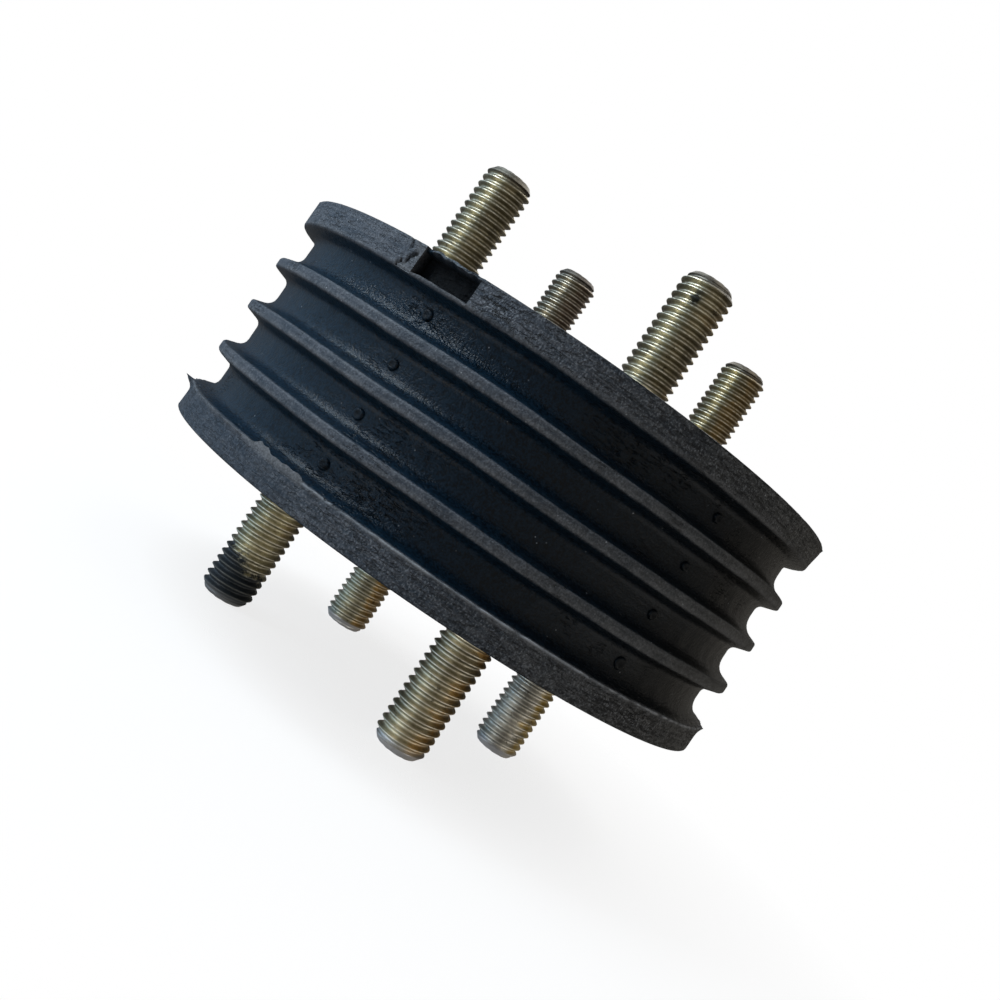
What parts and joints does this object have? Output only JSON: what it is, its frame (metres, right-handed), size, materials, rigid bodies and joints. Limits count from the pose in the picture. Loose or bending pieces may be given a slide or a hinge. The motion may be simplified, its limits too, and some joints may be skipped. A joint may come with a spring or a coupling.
{
  "type": "rubber buffer mount",
  "caption": "Round ribbed rubber buffer with bonded steel end plates and threaded studs at both ends, for mounting a fender or panel with damping.",
  "frame": {"origin": "centre of the lower seating face", "axes": "+Z along the buffer's axis towards the upper studs, -Y towards the notch in the upper rim"},
  "size_m": [0.117, 0.117, 0.094],
  "materials": {
    "rubber": "moulded, slightly dusty",
    "plate_steel": "phosphated",
    "stud_steel": "yellow zinc plated, worn"
  },
  "bodies": {
    "root": {"rubber_body": "rubber", "upper_plate": "plate_steel", "lower_plate": "plate_steel", "upper_stud_1": "stud_steel", "upper_stud_2": "stud_steel", "upper_stud_3": "stud_steel", "upper_stud_4": "stud_steel", "lower_stud_1": "stud_steel", "lower_stud_2": "stud_steel", "lower_stud_3": "stud_steel", "lower_stud_4": "stud_steel"}
  },
  "joints": []
}
